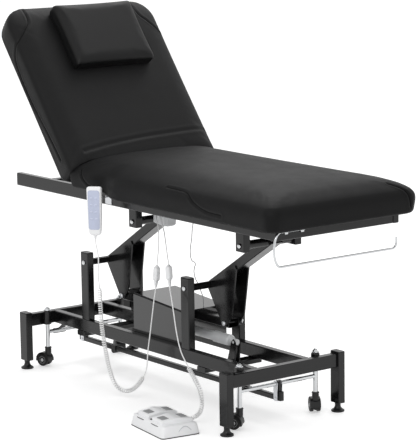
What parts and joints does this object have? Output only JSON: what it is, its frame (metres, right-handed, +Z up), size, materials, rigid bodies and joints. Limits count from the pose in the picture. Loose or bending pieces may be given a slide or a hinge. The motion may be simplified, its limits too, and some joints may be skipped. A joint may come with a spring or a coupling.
{
  "type": "massage table",
  "caption": "Height-adjustable massage table: black steel base, bell-crank lift linkage, tilting backrest, long seat cushion, pillow, castor frame, corded hand and foot controls.",
  "frame": {"origin": "bottom centre of the table's box, on the floor, cords aside", "axes": "+X from the head end to the foot end, +Y to the far side, +Z up"},
  "size_m": [1.771, 0.7944, 1.4393],
  "materials": {
    "black_leather": "matte artificial leather",
    "black_plastic": "matte",
    "black_steel": "satin black powder coat",
    "chrome": "polished",
    "grey_cord": "smooth",
    "grey_cover": "satin",
    "grey_plastic": "matte",
    "steel_rod": "polished",
    "white_cord": "smooth",
    "white_plastic": "semi-gloss",
    "zinc": "zinc plated"
  },
  "bodies": {
    "base": {"base_end_head": "black_steel", "base_end_foot": "black_steel", "base_rail_near": "black_steel", "base_rail_far": "black_steel", "base_tie_head": "black_steel", "base_tie_foot": "black_steel", "mechanism_cover": "grey_cover", "foot_control_base": "white_plastic", "handset_cord": "white_cord", "foot_control_cord": "white_cord", "actuator_cable": "grey_cord", "upright_near_head": "black_steel", "upright_far_head": "black_steel", "upright_near_foot": "black_steel", "upright_far_foot": "black_steel"},
    "lift_arm_head": {"lift_arm_head": "black_steel"},
    "lift_arm_foot": {"lift_arm_foot": "black_steel"},
    "lift_link": {"lift_link_beam": "black_steel"},
    "top_frame": {"top_rail_near": "black_steel", "top_rail_far": "black_steel", "top_beam_foot": "black_steel", "top_crossbar_head": "black_steel", "top_crossmember_hinge": "black_steel", "top_crossmember_mid": "black_steel", "top_crossmember_head": "black_steel", "top_crossmember_foot": "black_steel", "seat_pad": "black_leather", "paper_roll_bar": "chrome", "handset_hook": "zinc"},
    "backrest": {"backrest_frame": "black_steel", "backrest_pad": "black_leather"},
    "pillow": {"pillow": "black_leather"},
    "backrest_actuator": {"backrest_actuator": "grey_plastic", "handset_lead": "white_cord", "handset_connector": "white_plastic", "foot_control_lead": "white_cord", "foot_control_connector": "white_plastic"},
    "backrest_actuator_rod": {"backrest_actuator_rod": "steel_rod"},
    "lift_actuator": {"lift_actuator": "grey_plastic"},
    "lift_actuator_rod": {"lift_actuator_rod": "steel_rod"},
    "castor_frame": {"castor_yoke_head": "chrome", "castor_yoke_foot": "chrome", "castor_link_bar": "black_steel"},
    "castor_pedal": {"castor_pedal": "black_steel"},
    "handset": {"handset": "white_plastic"},
    "foot_rocker_left": {"foot_rocker_left": "white_plastic"},
    "foot_rocker_right": {"foot_rocker_right": "white_plastic"},
    "levelling_foot_near_head": {"levelling_foot_near_head": "black_plastic"},
    "castor_body_near_head": {"castor_body_near_head": "black_plastic"},
    "castor_wheel_near_head": {"castor_wheel_near_head": "black_plastic"},
    "levelling_foot_far_head": {"levelling_foot_far_head": "black_plastic"},
    "castor_body_far_head": {"castor_body_far_head": "black_plastic"},
    "castor_wheel_far_head": {"castor_wheel_far_head": "black_plastic"},
    "levelling_foot_near_foot": {"levelling_foot_near_foot": "black_plastic"},
    "castor_body_near_foot": {"castor_body_near_foot": "black_plastic"},
    "castor_wheel_near_foot": {"castor_wheel_near_foot": "black_plastic"},
    "levelling_foot_far_foot": {"levelling_foot_far_foot": "black_plastic"},
    "castor_body_far_foot": {"castor_body_far_foot": "black_plastic"},
    "castor_wheel_far_foot": {"castor_wheel_far_foot": "black_plastic"}
  },
  "joints": [
    {"name": "lift", "type": "hinge", "parent": "base", "child": "lift_arm_head", "pos_m": [-0.5255, 0.09017, 0.452], "axis": [0, -1, 0], "range_deg": [-37, 8], "deforming": ["handset_cord", "foot_control_cord", "actuator_cable"]},
    {"name": "lift_foot_arm", "type": "hinge", "parent": "base", "child": "lift_arm_foot", "pos_m": [0.1345, 0.09017, 0.452], "axis": [0, -1, 0], "range_deg": [-37, 8]},
    {"name": "lift_link_pivot", "type": "hinge", "parent": "lift_arm_head", "child": "lift_link", "pos_m": [-0.44148, 0.09017, 0.31701], "axis": [0, -1, 0], "range_deg": [-8, 37]},
    {"name": "lift_top_pivot", "type": "hinge", "parent": "lift_arm_head", "child": "top_frame", "pos_m": [-0.19016, 0.07217, 0.66073], "axis": [0, -1, 0], "range_deg": [-8, 37]},
    {"name": "lift_actuator_tail", "type": "hinge", "parent": "base", "child": "lift_actuator", "pos_m": [0.2465, 0.09017, 0.247], "axis": [0, 1, 0], "range_deg": [-2.93, 0.64]},
    {"name": "lift_actuator_stroke", "type": "slide", "parent": "lift_actuator", "child": "lift_actuator_rod", "axis": [-1, 0, 0], "range_m": [-0.0207, 0.09536]},
    {"name": "backrest", "type": "hinge", "parent": "top_frame", "child": "backrest", "pos_m": [-0.3845, 0.07217, 0.81073], "axis": [0, 1, 0], "range_deg": [-52, 0], "deforming": ["handset_cord", "foot_control_cord", "actuator_cable"]},
    {"name": "backrest_actuator_tail", "type": "hinge", "parent": "top_frame", "child": "backrest_actuator", "pos_m": [0.0055, 0.00717, 0.70473], "axis": [0, 1, 0], "range_deg": [-2.81, 0]},
    {"name": "backrest_actuator_stroke", "type": "slide", "parent": "backrest_actuator", "child": "backrest_actuator_rod", "axis": [-0.9966, 0, 0.0825], "range_m": [-0.07663, 0]},
    {"name": "pillow_lift_off", "type": "slide", "parent": "backrest", "child": "pillow", "axis": [0.788, 0, 0.6157], "range_m": [0, 0.15]},
    {"name": "handset_lift_off", "type": "slide", "parent": "top_frame", "child": "handset", "axis": [0, 0, 1], "range_m": [0, 0.06], "deforming": ["handset_cord"]},
    {"name": "castor_drop", "type": "slide", "parent": "base", "child": "castor_frame", "axis": [0, 0, -1], "range_m": [0, 0.0121]},
    {"name": "castor_pedal_press", "type": "hinge", "parent": "base", "child": "castor_pedal", "pos_m": [-0.5995, 0.04217, 0.1573], "axis": [0, -1, 0], "range_deg": [0, 5.1]},
    {"name": "castor_swivel_near_head", "type": "hinge", "parent": "castor_frame", "child": "castor_body_near_head", "pos_m": [-0.734, -0.10583, 0.07], "axis": [0, 0, 1], "continuous": true},
    {"name": "castor_spin_near_head", "type": "hinge", "parent": "castor_body_near_head", "child": "castor_wheel_near_head", "pos_m": [-0.75091, -0.11199, 0.028], "axis": [0.342, -0.9397, 0], "continuous": true},
    {"name": "castor_swivel_far_head", "type": "hinge", "parent": "castor_frame", "child": "castor_body_far_head", "pos_m": [-0.734, 0.25017, 0.07], "axis": [0, 0, 1], "continuous": true},
    {"name": "castor_spin_far_head", "type": "hinge", "parent": "castor_body_far_head", "child": "castor_wheel_far_head", "pos_m": [-0.75091, 0.25633, 0.028], "axis": [-0.342, -0.9397, 0], "continuous": true},
    {"name": "castor_swivel_near_foot", "type": "hinge", "parent": "castor_frame", "child": "castor_body_near_foot", "pos_m": [0.515, -0.10583, 0.07], "axis": [0, 0, 1], "continuous": true},
    {"name": "castor_spin_near_foot", "type": "hinge", "parent": "castor_body_near_foot", "child": "castor_wheel_near_foot", "pos_m": [0.50026, -0.11615, 0.028], "axis": [0.5736, -0.8192, 0], "continuous": true},
    {"name": "castor_swivel_far_foot", "type": "hinge", "parent": "castor_frame", "child": "castor_body_far_foot", "pos_m": [0.515, 0.25017, 0.07], "axis": [0, 0, 1], "continuous": true},
    {"name": "castor_spin_far_foot", "type": "hinge", "parent": "castor_body_far_foot", "child": "castor_wheel_far_foot", "pos_m": [0.49941, 0.25917, 0.028], "axis": [-0.5, -0.866, 0], "continuous": true},
    {"name": "levelling_near_head", "type": "slide", "parent": "base", "child": "levelling_foot_near_head", "axis": [0, 0, -1], "range_m": [0, 0.012]},
    {"name": "levelling_far_head", "type": "slide", "parent": "base", "child": "levelling_foot_far_head", "axis": [0, 0, -1], "range_m": [0, 0.012]},
    {"name": "levelling_near_foot", "type": "slide", "parent": "base", "child": "levelling_foot_near_foot", "axis": [0, 0, -1], "range_m": [0, 0.012]},
    {"name": "levelling_far_foot", "type": "slide", "parent": "base", "child": "levelling_foot_far_foot", "axis": [0, 0, -1], "range_m": [0, 0.012]},
    {"name": "foot_rocker_left", "type": "hinge", "parent": "base", "child": "foot_rocker_left", "pos_m": [0.27903, -0.29731, 0.022], "axis": [0.9903, -0.1392, 0], "range_deg": [-4, 4], "stiffness_Nm_per_rad": 3},
    {"name": "foot_rocker_right", "type": "hinge", "parent": "base", "child": "foot_rocker_right", "pos_m": [0.38597, -0.31235, 0.022], "axis": [0.9903, -0.1392, 0], "range_deg": [-4, 4], "stiffness_Nm_per_rad": 3}
  ],
  "couplings": [
    {"joint": "lift_foot_arm", "follows": "lift", "ratio": 1},
    {"joint": "lift_link_pivot", "follows": "lift", "ratio": -1},
    {"joint": "lift_top_pivot", "follows": "lift", "ratio": -1},
    {"joint": "lift_actuator_tail", "follows": "lift", "ratio": 0.078879},
    {"joint": "lift_actuator_stroke", "follows": "lift", "m_per_rad": -0.14752},
    {"joint": "backrest_actuator_tail", "follows": "backrest", "ratio": 0.053937},
    {"joint": "backrest_actuator_stroke", "follows": "backrest", "m_per_rad": 0.084328},
    {"joint": "castor_drop", "follows": "castor_pedal_press", "m_per_rad": 0.1345}
  ]
}
